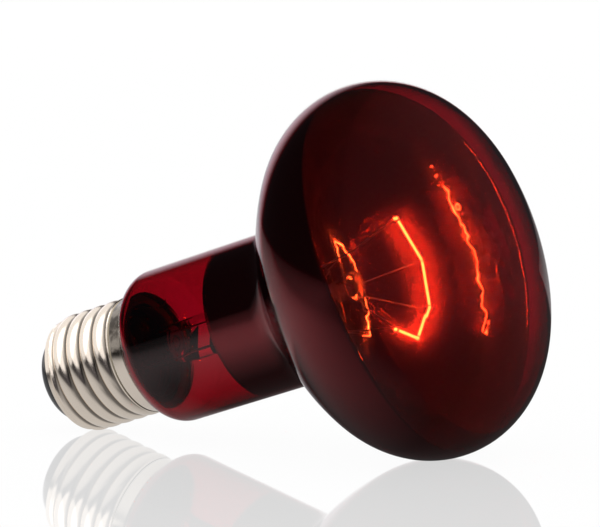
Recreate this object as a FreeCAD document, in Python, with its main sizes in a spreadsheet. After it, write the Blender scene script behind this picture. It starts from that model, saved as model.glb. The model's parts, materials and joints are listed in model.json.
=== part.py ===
import FreeCAD, Part
import math
import os
import Sketcher

# An infrared reflector lamp with a screw cap, lying on its side on a table.
# Every piece is drawn upright, with the lamp's axis on Z and the tip of the
# centre contact at height zero, and is then laid down by one common placement.

SIZES = [
    ("bulb_radius", 40.0, "widest radius of the glass"),
    ("bulb_widest_height", 92.3, "height of the widest section"),
    ("glass_wall", 0.9, "thickness of the blown glass"),
    ("neck_radius", 16.9, "outer radius of the neck"),
    ("cap_neck_radius", 11.0, "outer radius of the glass inside the cap"),
    ("neck_end_height", 20.5, "lower end of the glass inside the cap"),
    ("rim_round", 1.2, "hollow round where the glass leaves the cap"),
    ("rim_gap", 0.4, "gap between the cap rim and the glass above it"),
    ("reflector_fillet", 8.0, "hollow round between neck and reflector"),
    ("back_radius", 49.5, "main radius of the reflector back"),
    ("back_rim_radius", 18.6, "tighter radius behind the widest section"),
    ("front_rim_radius", 18.3, "tighter radius in front of the widest section"),
    ("face_radius", 66.8, "radius of the domed face"),
    ("coat_thickness", 0.15, "thickness given to the mirror coating"),
    ("coat_neck_height", 51.7, "edge of the mirror coating in the neck"),
    ("coat_front_length", 5.0, "reach of the coating past the widest section"),
    ("cap_height", 27.0, "height of the cap from contact tip to rim"),
    ("shell_wall", 0.35, "sheet thickness of the screw shell"),
    ("thread_crest_radius", 13.1, "radius over the thread crests"),
    ("thread_depth", 1.0, "height of the rolled thread"),
    ("thread_round", 1.025, "round of the thread crests"),
    ("thread_flank_angle", 55.0, "slope of the thread flanks against the axis"),
    ("thread_pitch", 3.629, "pitch of the screw thread"),
    ("thread_start_height", 5.49, "height of the crest where the thread starts"),
    ("thread_turns", 5.25, "turns of the thread"),
    ("skirt_radius", 13.2, "outer radius of the plain skirt"),
    ("skirt_length", 3.8, "length of the plain skirt"),
    ("shell_end_height", 6.0, "height of the turned-in end of the shell"),
    ("shell_end_round", 2.8, "round of the turned-in end"),
    ("lip_radius", 10.4, "radius inside the turned-in end"),
    ("insulator_depth", 2.4, "depth of the insulator inside the shell"),
    ("insulator_round", 4.2, "round of the insulator between contact and shell"),
    ("contact_radius", 4.75, "radius of the centre contact"),
    ("contact_thickness", 0.8, "thickness of the centre contact"),
    ("contact_edge", 0.3, "rounding of the contact's edge"),
    ("eyelet_radius", 1.6, "outer radius of the contact's eyelet"),
    ("eyelet_length", 2.6, "length of the contact's eyelet"),
    ("tip_solder_radius", 2.2, "radius of the solder on the contact"),
    ("tip_solder_height", 0.5, "height of the solder on the contact"),
    ("rim_solder_radius", 1.0, "radius of the solder on the skirt"),
    ("rim_solder_height", 0.55, "height of the solder on the skirt"),
    ("cement_depth", 2.4, "height of the cement ring"),
    ("cement_recess", 1.0, "distance from the rim down to the cement"),
    ("stem_radius", 4.4, "outer radius of the stem tube"),
    ("stem_wall", 0.9, "wall of the stem tube"),
    ("stem_tube_top", 33.0, "top of the hollow of the stem tube"),
    ("press_start", 38.0, "height where the press becomes flat"),
    ("press_top", 43.0, "top of the press"),
    ("press_width", 10.4, "width of the press"),
    ("press_thickness", 3.4, "thickness of the press"),
    ("press_root_flat", 0.225, "flattening of the press where it leaves the tube"),
    ("exhaust_radius", 1.6, "outer radius of the exhaust tube"),
    ("exhaust_wall", 0.5, "wall of the exhaust tube"),
    ("exhaust_end_height", 14.0, "tipped-off end of the exhaust tube"),
    ("arbor_radius", 1.25, "radius of the arbor rod"),
    ("button_height", 79.1, "height of the middle of the button"),
    ("button_radius", 3.4, "radius of the button"),
    ("button_thickness", 2.6, "thickness of the button"),
    ("support_radius", 0.15, "radius of the support wires"),
    ("support_seat", 1.6, "radius where the supports end in the button"),
    ("support_reach", 4.6, "radius where the supports bend forward"),
    ("support_angle", 7.5, "angle of the first support"),
    ("support_step", 41.5, "angle between supports"),
    ("filament_radius", 0.4, "outer radius of the coiled filament"),
    ("filament_ring_radius", 14.4, "radius of the filament's ring"),
    ("filament_height", 88.3, "height of the filament's ring"),
    ("filament_tail", 0.8, "length of the filament past each lead"),
    ("loop_clearance", 0.2, "clearance of the loops round the filament"),
    ("loop_shank", 1.5, "straight shank of a wire below its loop"),
    ("lead_radius", 0.2, "radius of the lead wires"),
    ("lead_spread", 3.0, "distance of the leads from the axis in the press"),
    ("lead_stub", 0.8, "straight length of a lead above the press"),
    ("side_lead_angle", 53.0, "angle of the lead to the shell"),
    ("side_lead_knee_height", 78.0, "height of the bend in the side lead"),
    ("side_lead_knee_radius", 9.8, "radius of the bend in the side lead"),
    ("side_lead_turn_height", 17.0, "height where the side lead turns outwards"),
    ("side_lead_slope", 0.8, "rise of the side lead on its way outwards"),
    ("skirt_clearance", 0.2, "clearance of the side lead inside the skirt"),
    ("centre_lead_angle", -111.5, "angle of the lead to the contact"),
    ("centre_lead_reach", 12.1, "radius of the filament's end on the centre lead"),
    ("centre_lead_turn_height", 12.5, "height where the centre lead turns inwards"),
    ("centre_lead_drop", 3.0, "height over which the centre lead reaches the axis"),
]

HALF_TURN = 180.0
FULL_TURN = 360.0
QUARTER_TURN = 90.0
LOOP_SWEEP = 290.0
SUPPORTS = 3


class Size:
    """A number together with the sheet expression that gives it."""

    def __init__(self, number, text):
        self.number = number
        self.text = text

    def joined(self, other, sign, number):
        return Size(number, "(" + self.text + " " + sign + " " + as_size(other).text + ")")

    def __add__(self, other):
        return self.joined(other, "+", self.number + as_size(other).number)

    def __sub__(self, other):
        return self.joined(other, "-", self.number - as_size(other).number)

    def __mul__(self, other):
        return self.joined(other, "*", self.number * as_size(other).number)

    def __truediv__(self, other):
        return self.joined(other, "/", self.number / as_size(other).number)


def as_size(value):
    if isinstance(value, Size):
        return value
    return Size(float(value), str(value))


def root(size):
    return Size(math.sqrt(size.number), "sqrt(" + size.text + ")")


def cosine(angle):
    return Size(math.cos(math.radians(angle.number)), "cos(1 deg * " + angle.text + ")")


def sine(angle):
    return Size(math.sin(math.radians(angle.number)), "sin(1 deg * " + angle.text + ")")


def leg(long_side, short_side):
    """The other short side of a right triangle."""
    return root(long_side * long_side - short_side * short_side)


doc = FreeCAD.newDocument("heat_lamp")
sheet = doc.addObject("Spreadsheet::Sheet", "Sizes")
for row, (alias, value, note) in enumerate(SIZES, start=1):
    sheet.set("A" + str(row), note)
    sheet.set("B" + str(row), str(value))
    sheet.setAlias("B" + str(row), alias)
doc.recompute()

ZERO = as_size(0)
of_sheet = {alias: Size(float(sheet.get(alias)), "Sizes." + alias) for alias, _, _ in SIZES}

bulb_radius = of_sheet["bulb_radius"]
widest = of_sheet["bulb_widest_height"]
wall = of_sheet["glass_wall"]
neck_radius = of_sheet["neck_radius"]
cap_neck_radius = of_sheet["cap_neck_radius"]
neck_end = of_sheet["neck_end_height"]
rim_round = of_sheet["rim_round"]
fillet = of_sheet["reflector_fillet"]
back_radius = of_sheet["back_radius"]
back_rim = of_sheet["back_rim_radius"]
front_rim = of_sheet["front_rim_radius"]
face_radius = of_sheet["face_radius"]
cap_height = of_sheet["cap_height"]
sheet_wall = of_sheet["shell_wall"]
crest_radius = of_sheet["thread_crest_radius"]
thread_round = of_sheet["thread_round"]
skirt_radius = of_sheet["skirt_radius"]
shell_end = of_sheet["shell_end_height"]
end_round = of_sheet["shell_end_round"]
lip_radius = of_sheet["lip_radius"]
lead_radius = of_sheet["lead_radius"]
lead_spread = of_sheet["lead_spread"]
support_radius = of_sheet["support_radius"]
filament_radius = of_sheet["filament_radius"]
ring_radius = of_sheet["filament_ring_radius"]
filament_height = of_sheet["filament_height"]
loop_clearance = of_sheet["loop_clearance"]
button_height = of_sheet["button_height"]
arbor_radius = of_sheet["arbor_radius"]
press_top = of_sheet["press_top"]
stem_radius = of_sheet["stem_radius"]
stem_wall = of_sheet["stem_wall"]
tube_top = of_sheet["stem_tube_top"]
exhaust_radius = of_sheet["exhaust_radius"]
tip_solder_height = of_sheet["tip_solder_height"]
eyelet_radius = of_sheet["eyelet_radius"]
contact_radius = of_sheet["contact_radius"]

# Places that several pieces share.
thread_root = crest_radius - of_sheet["thread_depth"]
thread_middle = crest_radius - thread_round
shell_bore = thread_root - sheet_wall
skirt_bore = skirt_radius - sheet_wall
skirt_start = cap_height - of_sheet["skirt_length"]
end_middle = (lip_radius, shell_end + end_round)
glass_seat = cap_height + of_sheet["rim_gap"]
neck_bore = cap_neck_radius - wall
contact_top = tip_solder_height + of_sheet["contact_thickness"]
skirt_gap_middle = skirt_bore - lead_radius - of_sheet["skirt_clearance"]


class Outline:
    """A sketch outline that goes from point to point by lines and arcs."""

    def __init__(self, start):
        self.points = [start]
        self.arcs = []

    def line_to(self, *points):
        for point in points:
            self.points.append(point)
            self.arcs.append(None)
        return self

    def arc_to(self, point, centre, radius, turns_left=True):
        self.points.append(point)
        self.arcs.append((centre, radius, turns_left))
        return self

    def back_along(self, other):
        """Follow another outline from its end to its start."""
        self.line_to(other.points[-1])
        for index in range(len(other.arcs) - 1, -1, -1):
            point = other.points[index]
            if other.arcs[index] is None:
                self.line_to(point)
            else:
                centre, radius, turns_left = other.arcs[index]
                self.arc_to(point, centre, radius, not turns_left)
        return self

    def draw(self, sketch, closed=True):
        steps = list(zip(self.points, self.points[1:], self.arcs))
        if closed and self.points[-1] is not self.points[0]:
            steps.append((self.points[-1], self.points[0], None))
        ends = []
        for start, end, arc in steps:
            if arc is None:
                edge = Part.LineSegment(flat(start), flat(end))
                ends.append((sketch.addGeometry(edge), 1, 2))
            else:
                ends.append(draw_arc(sketch, start, end, arc))
        for (first, _, leave), (second, arrive, _) in zip(ends, ends[1:]):
            sketch.addConstraint(Sketcher.Constraint("Coincident", first, leave, second, arrive))
        if closed:
            first, second = ends[-1], ends[0]
            sketch.addConstraint(
                Sketcher.Constraint("Coincident", first[0], first[2], second[0], second[1]))
        for (start, _, _), (edge, arrive, _) in zip(steps, ends):
            pin_point(sketch, edge, arrive, start)
        if not closed:
            pin_point(sketch, ends[-1][0], ends[-1][2], self.points[-1])


def flat(point):
    return FreeCAD.Vector(point[0].number, point[1].number, 0)


def draw_arc(sketch, start, end, arc):
    """Add one arc with its radius held, and give its edge and its two end marks."""
    centre, radius, turns_left = arc
    low, high = (start, end) if turns_left else (end, start)
    middle = flat(centre)
    circle = Part.Circle(middle, FreeCAD.Vector(0, 0, 1), radius.number)
    angles = [math.atan2(flat(p).y - middle.y, flat(p).x - middle.x) for p in (low, high)]
    if angles[1] <= angles[0]:
        angles[1] += 2 * math.pi
    edge = sketch.addGeometry(Part.ArcOfCircle(circle, angles[0], angles[1]))
    hold(sketch, Sketcher.Constraint("Radius", edge, radius.number), radius)
    return (edge, 1, 2) if turns_left else (edge, 2, 1)


def hold(sketch, constraint, size):
    """Add a measured constraint and bind it to the sheet."""
    index = sketch.addConstraint(constraint)
    sketch.setExpression("Constraints[" + str(index) + "]", size.text)


def pin_point(sketch, edge, mark, point):
    """Hold a point of a sketch at its radius and height."""
    for size, axis, kind in ((point[0], -2, "DistanceX"), (point[1], -1, "DistanceY")):
        if size is ZERO:
            sketch.addConstraint(Sketcher.Constraint("PointOnObject", edge, mark, axis))
        elif size.number > 0:
            hold(sketch, Sketcher.Constraint(kind, -1, 1, edge, mark, size.number), size)
        else:
            flipped = size * -1
            hold(sketch, Sketcher.Constraint(kind, edge, mark, -1, 1, flipped.number), flipped)


def origin_plane(body, role):
    for feature in body.Origin.OriginFeatures:
        if feature.Role == role:
            return feature
    raise ValueError("no origin plane " + role)


def new_body(label):
    body = doc.addObject("PartDesign::Body", label)
    body.Label = label
    return body


def new_sketch(body, role, name, height=None):
    sketch = body.newObject("Sketcher::SketchObject", name)
    sketch.AttachmentSupport = (origin_plane(body, role), [""])
    sketch.MapMode = "FlatFace"
    if height is not None:
        sketch.setExpression("AttachmentOffset.Base.z", height.text)
    return sketch


def revolve(body, outline, name, kind="PartDesign::Revolution"):
    """Turn an outline about the lamp's axis."""
    sketch = new_sketch(body, "XZ_Plane", name + "_outline")
    outline.draw(sketch)
    feature = body.newObject(kind, name)
    feature.Profile = sketch
    feature.ReferenceAxis = (sketch, ["V_Axis"])
    feature.Angle = FULL_TURN
    sketch.Visibility = False
    return feature


def circle_sketch(body, role, name, centre, radius, height=None):
    sketch = new_sketch(body, role, name, height)
    axis = FreeCAD.Vector(0, 0, 1)
    edge = sketch.addGeometry(Part.Circle(flat(centre), axis, radius.number))
    hold(sketch, Sketcher.Constraint("Radius", edge, radius.number), radius)
    pin_point(sketch, edge, 3, centre)
    return sketch


def glass_line(inset, coat_only=False):
    """The lamp's outline at a depth below its outer surface, from neck to face."""
    seat_middle = (cap_neck_radius + rim_round, glass_seat - rim_round)
    shoulder = neck_radius - cap_neck_radius - rim_round
    shoulder_middle = (cap_neck_radius + rim_round, glass_seat + shoulder)
    back_middle_height = widest + leg(back_radius - back_rim, bulb_radius - back_rim)
    fillet_reach = leg(back_radius + fillet, neck_radius + fillet)
    fillet_middle = (neck_radius + fillet, back_middle_height - fillet_reach)
    back_middle = (ZERO, back_middle_height)
    back_rim_middle = (bulb_radius - back_rim, widest)
    front_rim_middle = (bulb_radius - front_rim, widest)
    face_drop = leg(face_radius - front_rim, bulb_radius - front_rim)
    face_middle = (ZERO, widest - face_drop)

    reach = (back_radius - inset) / (back_radius + fillet)
    fillet_end = ((neck_radius + fillet) * reach, back_middle_height - fillet_reach * reach)
    blend = (back_radius - inset) / (back_radius - back_rim)
    back_end = ((bulb_radius - back_rim) * blend,
                back_middle_height - leg(back_radius - back_rim, bulb_radius - back_rim) * blend)
    turn = (face_radius - inset) / (face_radius - front_rim)
    face_start = ((bulb_radius - front_rim) * turn, widest - face_drop + face_drop * turn)

    if coat_only:
        line = Outline((neck_radius - inset, of_sheet["coat_neck_height"]))
    else:
        line = Outline((cap_neck_radius - inset, neck_end))
        line.line_to((cap_neck_radius - inset, seat_middle[1]))
        line.arc_to((seat_middle[0], glass_seat + inset), seat_middle, rim_round + inset, False)
        line.arc_to((neck_radius - inset, shoulder_middle[1]), shoulder_middle, shoulder - inset)
    line.line_to((neck_radius - inset, fillet_middle[1]))
    line.arc_to(fillet_end, fillet_middle, fillet + inset, False)
    line.arc_to(back_end, back_middle, back_radius - inset)
    line.arc_to((bulb_radius - inset, widest), back_rim_middle, back_rim - inset)
    if coat_only:
        past = of_sheet["coat_front_length"]
        edge_radius = bulb_radius - front_rim + leg(front_rim - inset, past)
        line.arc_to((edge_radius, widest + past), front_rim_middle, front_rim - inset)
    else:
        line.arc_to(face_start, front_rim_middle, front_rim - inset)
        line.arc_to((ZERO, widest - face_drop + face_radius - inset), face_middle, face_radius - inset)
    return line


def make_envelope():
    body = new_body("glass_envelope")
    outline = glass_line(ZERO)
    outline.back_along(glass_line(wall))
    revolve(body, outline, "blown_glass")
    return body


def make_coating():
    body = new_body("reflector_coating")
    outline = glass_line(wall, coat_only=True)
    outline.back_along(glass_line(wall + of_sheet["coat_thickness"], coat_only=True))
    revolve(body, outline, "coating")
    return body


def thread_helix(body, kind, name, inset, skipped=0):
    """Roll the thread: a round crest with two flanks carried along the thread's helix."""
    start = of_sheet["thread_start_height"] + of_sheet["thread_pitch"] * skipped
    slope = of_sheet["thread_flank_angle"]
    crest = thread_round - inset
    crest_edge = thread_middle + crest * cosine(slope)
    half_crest = crest * sine(slope)
    foot = thread_root - inset - sheet_wall / 2
    half_foot = half_crest + (crest_edge - foot) * cosine(slope) / sine(slope)
    outline = Outline((foot, start - half_foot))
    outline.line_to((crest_edge, start - half_crest))
    outline.arc_to((crest_edge, start + half_crest), (thread_middle, start), crest)
    outline.line_to((foot, start + half_foot))
    sketch = new_sketch(body, "XZ_Plane", name + "_outline")
    outline.draw(sketch)
    helix = body.newObject(kind, name)
    helix.Profile = sketch
    helix.ReferenceAxis = (sketch, ["V_Axis"])
    helix.Mode = "pitch-turns-angle"
    helix.setExpression("Pitch", "Sizes.thread_pitch")
    helix.setExpression("Turns", (of_sheet["thread_turns"] - skipped).text)
    helix.LeftHanded = False
    doc.recompute()
    return helix


def bore_foot():
    """Where the inside of the round end runs into the shell's bore."""
    rise = leg(end_round - sheet_wall, shell_bore - lip_radius)
    return (shell_bore, end_middle[1] - rise)


def make_shell():
    """The screw shell: thin sheet with a round turned-in end, a rolled thread and a plain skirt."""
    body = new_body("screw_shell")
    flare_start = skirt_start - (skirt_radius - thread_root)
    outline = Outline((ZERO, shell_end))
    outline.line_to(
        (thread_root, shell_end),
        (thread_root, flare_start),
        (skirt_radius, skirt_start),
        (skirt_radius, cap_height),
        (ZERO, cap_height))
    revolve(body, outline, "drawn_shell")
    thread_helix(body, "PartDesign::AdditiveHelix", "thread_crest", ZERO)
    outside = crest_radius + thread_round
    hollow = Outline((ZERO, ZERO))
    hollow.line_to(
        (outside, ZERO),
        (outside, end_middle[1]),
        (lip_radius + end_round, end_middle[1]))
    hollow.arc_to((lip_radius, shell_end), end_middle, end_round, False)
    hollow.line_to((lip_radius, shell_end + sheet_wall))
    hollow.arc_to(bore_foot(), end_middle, end_round - sheet_wall)
    hollow.line_to(
        (shell_bore, flare_start),
        (skirt_bore, skirt_start),
        (skirt_bore, cap_height),
        (ZERO, cap_height))
    revolve(body, hollow, "shell_hollow", "PartDesign::Groove")
    doc.recompute()
    # The first turn runs out on the round end, so its inside stays full.
    thread_helix(body, "PartDesign::SubtractiveHelix", "thread_hollow", sheet_wall, skipped=1)
    return body


def make_insulator():
    body = new_body("cap_insulator")
    bulge = of_sheet["insulator_round"]
    bulge_middle = (lip_radius - bulge, contact_top + bulge)
    outline = Outline((eyelet_radius, contact_top))
    outline.line_to((bulge_middle[0], contact_top))
    outline.arc_to((lip_radius, bulge_middle[1]), bulge_middle, bulge)
    outline.line_to((lip_radius, shell_end + sheet_wall))
    outline.arc_to(bore_foot(), end_middle, end_round - sheet_wall)
    outline.line_to(
        (shell_bore, shell_end + sheet_wall + of_sheet["insulator_depth"]),
        (eyelet_radius, contact_top + of_sheet["eyelet_length"]))
    revolve(body, outline, "pressed_glass")
    return body


def make_contact():
    body = new_body("centre_contact")
    edge = of_sheet["contact_edge"]
    corner = (contact_radius - edge, tip_solder_height + edge)
    outline = Outline((lead_radius, tip_solder_height))
    outline.line_to((contact_radius - edge, tip_solder_height))
    outline.arc_to((contact_radius, tip_solder_height + edge), corner, edge)
    outline.line_to(
        (contact_radius, contact_top),
        (eyelet_radius, contact_top),
        (eyelet_radius, contact_top + of_sheet["eyelet_length"]),
        (lead_radius, contact_top + of_sheet["eyelet_length"]))
    revolve(body, outline, "contact_plate")
    return body


def make_tip_solder():
    body = new_body("centre_solder")
    base = of_sheet["tip_solder_radius"]
    ball = (base * base + tip_solder_height * tip_solder_height) / (tip_solder_height * 2)
    outline = Outline((ZERO, ZERO))
    outline.arc_to((base, tip_solder_height), (ZERO, ball), ball)
    outline.line_to((ZERO, tip_solder_height))
    revolve(body, outline, "solder_drop")
    return body


def make_cement():
    body = new_body("basing_cement")
    top = cap_height - of_sheet["cement_recess"]
    bottom = top - of_sheet["cement_depth"]
    outline = Outline((cap_neck_radius, bottom))
    outline.line_to((skirt_bore, bottom), (skirt_bore, top), (cap_neck_radius, top))
    revolve(body, outline, "cement_ring")
    hole = circle_sketch(body, "XY_Plane", "lead_hole", (skirt_gap_middle, ZERO), lead_radius, bottom)
    pocket = body.newObject("PartDesign::Pocket", "lead_passage")
    pocket.Profile = hole
    pocket.setExpression("Length", of_sheet["cement_depth"].text)
    pocket.Reversed = True
    return body


def slot_sketch(body, name, half_length, half_width, height):
    """A long round-ended section of the press."""
    sketch = new_sketch(body, "XY_Plane", name, height)
    straight = half_length - half_width
    across = FreeCAD.Vector(straight.number, 0, 0)
    normal = FreeCAD.Vector(0, 0, 1)
    right = Part.Circle(across, normal, half_width.number)
    left = Part.Circle(-across, normal, half_width.number)
    quarter = math.pi / 2
    ends = [sketch.addGeometry(Part.ArcOfCircle(right, -quarter, quarter)),
            sketch.addGeometry(Part.ArcOfCircle(left, quarter, 3 * quarter))]
    up = FreeCAD.Vector(0, half_width.number, 0)
    top = sketch.addGeometry(Part.LineSegment(across + up, up - across))
    bottom = sketch.addGeometry(Part.LineSegment(-across - up, across - up))
    for first, leave, second, arrive in ((ends[0], 2, top, 1), (top, 2, ends[1], 1),
                                         (ends[1], 2, bottom, 1), (bottom, 2, ends[0], 1)):
        sketch.addConstraint(Sketcher.Constraint("Tangent", first, leave, second, arrive))
    sketch.addConstraint(Sketcher.Constraint("Symmetric", ends[0], 3, ends[1], 3, -1, 1))
    sketch.addConstraint(Sketcher.Constraint("Horizontal", top))
    hold(sketch, Sketcher.Constraint("Radius", ends[0], half_width.number), half_width)
    hold(sketch, Sketcher.Constraint("DistanceX", -1, 1, ends[0], 3, straight.number), straight)
    return sketch


def make_stem():
    """The stem: a flare sealed into the neck, a tube and a flat press with two wire holes."""
    body = new_body("stem_glass")
    bore = stem_radius - stem_wall
    rim_top = neck_end + stem_wall
    sweep = neck_bore - stem_radius
    flare_middle = (neck_bore, rim_top + sweep)
    rim = (neck_bore, neck_end)
    outline = Outline(rim)
    outline.line_to((neck_bore, rim_top))
    outline.arc_to((stem_radius, flare_middle[1]), flare_middle, sweep, False)
    outline.line_to(
        (stem_radius, tube_top + stem_wall),
        (ZERO, tube_top + stem_wall),
        (ZERO, tube_top),
        (bore, tube_top),
        (bore, flare_middle[1]))
    outline.arc_to(rim, flare_middle, sweep + stem_wall)
    revolve(body, outline, "flare_and_tube")
    doc.recompute()

    press_start = of_sheet["press_start"]
    half_width = of_sheet["press_width"] / 2
    half_thick = of_sheet["press_thickness"] / 2
    loft = body.newObject("PartDesign::AdditiveLoft", "press_taper")
    half_root = stem_radius - of_sheet["press_root_flat"]
    loft.Profile = slot_sketch(body, "press_root", stem_radius, half_root, tube_top)
    loft.Sections = [slot_sketch(body, "press_flat", half_width, half_thick, press_start)]
    loft.Ruled = True
    body.Tip = loft
    doc.recompute()
    pad = body.newObject("PartDesign::Pad", "press_block")
    pad.Profile = slot_sketch(body, "press_block_outline", half_width, half_thick, press_start)
    pad.setExpression("Length", (press_top - press_start).text)
    doc.recompute()
    for name in ("side_lead", "centre_lead"):
        turned = of_sheet[name + "_angle"] - press_angle
        place = (lead_spread * cosine(turned), lead_spread * sine(turned))
        hole = circle_sketch(body, "XY_Plane", name + "_hole_outline", place, lead_radius, tube_top)
        pocket = body.newObject("PartDesign::Pocket", name + "_hole")
        pocket.Profile = hole
        pocket.setExpression("Length", (press_top - tube_top).text)
        pocket.Reversed = True
        doc.recompute()
    return body


def make_exhaust():
    body = new_body("exhaust_tube")
    bore = exhaust_radius - of_sheet["exhaust_wall"]
    end = of_sheet["exhaust_end_height"]
    tip_middle = (ZERO, end + exhaust_radius)
    outline = Outline((ZERO, end))
    outline.arc_to((exhaust_radius, end + exhaust_radius), tip_middle, exhaust_radius)
    outline.line_to(
        (exhaust_radius, tube_top),
        (bore, tube_top),
        (bore, end + exhaust_radius))
    outline.arc_to((ZERO, end + exhaust_radius - bore), tip_middle, bore, False)
    revolve(body, outline, "tube_and_tip")
    return body


def make_arbor():
    """The arbor rod with its flattened button, and the seats of the support wires in it."""
    body = new_body("arbor_rod")
    half = of_sheet["button_thickness"] / 2
    edge_middle = (of_sheet["button_radius"] - half, button_height)
    outline = Outline((ZERO, press_top))
    outline.line_to(
        (arbor_radius, press_top),
        (arbor_radius, button_height - half),
        (edge_middle[0], button_height - half))
    outline.arc_to((of_sheet["button_radius"], button_height), edge_middle, half)
    outline.arc_to((edge_middle[0], button_height + half), edge_middle, half)
    outline.line_to((ZERO, button_height + half))
    revolve(body, outline, "rod_and_button")
    doc.recompute()
    seat = new_sketch(body, "XZ_Plane", "support_seat_outline")
    seat_end = of_sheet["button_radius"] + half
    outline = Outline((of_sheet["support_seat"], button_height))
    outline.line_to(
        (seat_end, button_height),
        (seat_end, button_height + support_radius),
        (of_sheet["support_seat"], button_height + support_radius))
    outline.draw(seat)
    groove = body.newObject("PartDesign::Groove", "support_seat")
    groove.Profile = seat
    groove.ReferenceAxis = (seat, ["Edge1"])
    groove.Angle = FULL_TURN
    doc.recompute()
    pattern = body.newObject("PartDesign::PolarPattern", "support_seats")
    pattern.Originals = [groove]
    pattern.Axis = (seat, ["V_Axis"])
    pattern.setExpression("Angle", (of_sheet["support_step"] * (SUPPORTS - 1)).text)
    pattern.Occurrences = SUPPORTS
    body.Tip = pattern
    return body


def wire_along(body, path, radius):
    """Carry a round section along a path sketch."""
    section = body.newObject("Sketcher::SketchObject", "wire_section")
    section.AttachmentSupport = (path, ["Edge1"])
    section.MapMode = "NormalToEdge"
    edge = section.addGeometry(
        Part.Circle(FreeCAD.Vector(0, 0, 0), FreeCAD.Vector(0, 0, 1), radius.number))
    section.addConstraint(Sketcher.Constraint("Coincident", edge, 3, -1, 1))
    hold(section, Sketcher.Constraint("Radius", edge, radius.number), radius)
    doc.recompute()
    pipe = body.newObject("PartDesign::AdditivePipe", "drawn_wire")
    pipe.Profile = section
    pipe.Spine = (path, ["Edge" + str(number + 1) for number in range(path.GeometryCount)])
    pipe.Transition = "Right corner"
    doc.recompute()


def looped_wire(label, points, loop_middle, radius):
    """A wire bent in one plane that ends in an open loop round the filament."""
    body = new_body(label)
    loop = filament_radius + loop_clearance + radius
    across, up = loop_middle
    shank_side = across - loop
    swept = as_size(HALF_TURN - LOOP_SWEEP)
    loop_end = (across + loop * cosine(swept), up + loop * sine(swept))
    outline = Outline(points[0])
    outline.line_to(*points[1:])
    outline.line_to((shank_side, up - of_sheet["loop_shank"]), (shank_side, up))
    outline.arc_to(loop_end, loop_middle, loop, False)
    path = new_sketch(body, "XZ_Plane", "wire_path")
    outline.draw(path, closed=False)
    doc.recompute()
    wire_along(body, path, radius)
    return body


def make_support(number):
    points = [(of_sheet["support_seat"], button_height), (of_sheet["support_reach"], button_height)]
    return looped_wire("support_wire_" + str(number), points, (ring_radius, filament_height),
                       support_radius)


def make_side_lead():
    """The lead that leaves the stem, turns up past the glass and lies over the shell's rim."""
    neck_gap = (cap_neck_radius + shell_bore) / 2
    over_rim = cap_height + lead_radius
    low = of_sheet["side_lead_turn_height"]
    points = [
        (skirt_radius + lead_radius, over_rim),
        (skirt_gap_middle, over_rim),
        (skirt_gap_middle, skirt_start),
        (neck_gap, skirt_start - (skirt_radius - thread_root)),
        (neck_gap, low + of_sheet["side_lead_slope"]),
        (lead_spread, low),
        (lead_spread, press_top + of_sheet["lead_stub"]),
        (of_sheet["side_lead_knee_radius"], of_sheet["side_lead_knee_height"])]
    return looped_wire("side_lead_wire", points, (ring_radius, filament_height), lead_radius)


def make_centre_lead():
    """The lead that goes down through the contact's eyelet to the tip."""
    turn = of_sheet["centre_lead_turn_height"]
    points = [
        (ZERO, tip_solder_height),
        (ZERO, turn - of_sheet["centre_lead_drop"]),
        (lead_spread, turn),
        (lead_spread, press_top + of_sheet["lead_stub"])]
    end = (of_sheet["centre_lead_reach"], filament_height)
    return looped_wire("centre_lead_wire", points, end, lead_radius)


def make_filament():
    """The coiled filament as a round bar of its outer size, straight from wire to wire."""
    body = new_body("filament")
    angles = [of_sheet["side_lead_angle"]]
    angles += [support_turn(number) for number in range(SUPPORTS)]
    angles.append(of_sheet["centre_lead_angle"])
    radii = [ring_radius] * (SUPPORTS + 1) + [of_sheet["centre_lead_reach"]]
    corners = [(radius * sine(angle) * -1, radius * cosine(angle))
               for radius, angle in zip(radii, angles)]
    corners[0] = drawn_out(corners[1], corners[0])
    corners[-1] = drawn_out(corners[-2], corners[-1])
    outline = Outline(corners[0])
    outline.line_to(*corners[1:])
    path = new_sketch(body, "XY_Plane", "filament_path", filament_height)
    outline.draw(path, closed=False)
    doc.recompute()
    wire_along(body, path, filament_radius)
    return body


def drawn_out(start, end):
    """The end of a span, moved on by the filament's tail."""
    across = end[0] - start[0]
    along = end[1] - start[1]
    span = root(across * across + along * along)
    share = (span + of_sheet["filament_tail"]) / span
    return (start[0] + across * share, start[1] + along * share)


def make_rim_solder():
    """A drop of solder on the skirt, hollow behind to fit it."""
    base = of_sheet["rim_solder_radius"]
    rise = of_sheet["rim_solder_height"]
    ball_radius = (base * base + rise * rise) / (rise * 2)
    ball = doc.addObject("Part::Sphere", "solder_ball")
    ball.setExpression("Radius", ball_radius.text)
    ball.setExpression("Placement.Base.x", (skirt_radius + rise - ball_radius).text)
    ball.setExpression("Placement.Base.z", (cap_height - base).text)
    skirt = doc.addObject("Part::Cylinder", "skirt_space")
    skirt.setExpression("Radius", skirt_radius.text)
    skirt.setExpression("Height", (cap_height + base).text)
    drop = doc.addObject("Part::Cut", "side_solder")
    drop.Label = "side_solder"
    drop.Base = ball
    drop.Tool = skirt
    return drop


def support_turn(number):
    return of_sheet["support_angle"] - of_sheet["support_step"] * number


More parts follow.
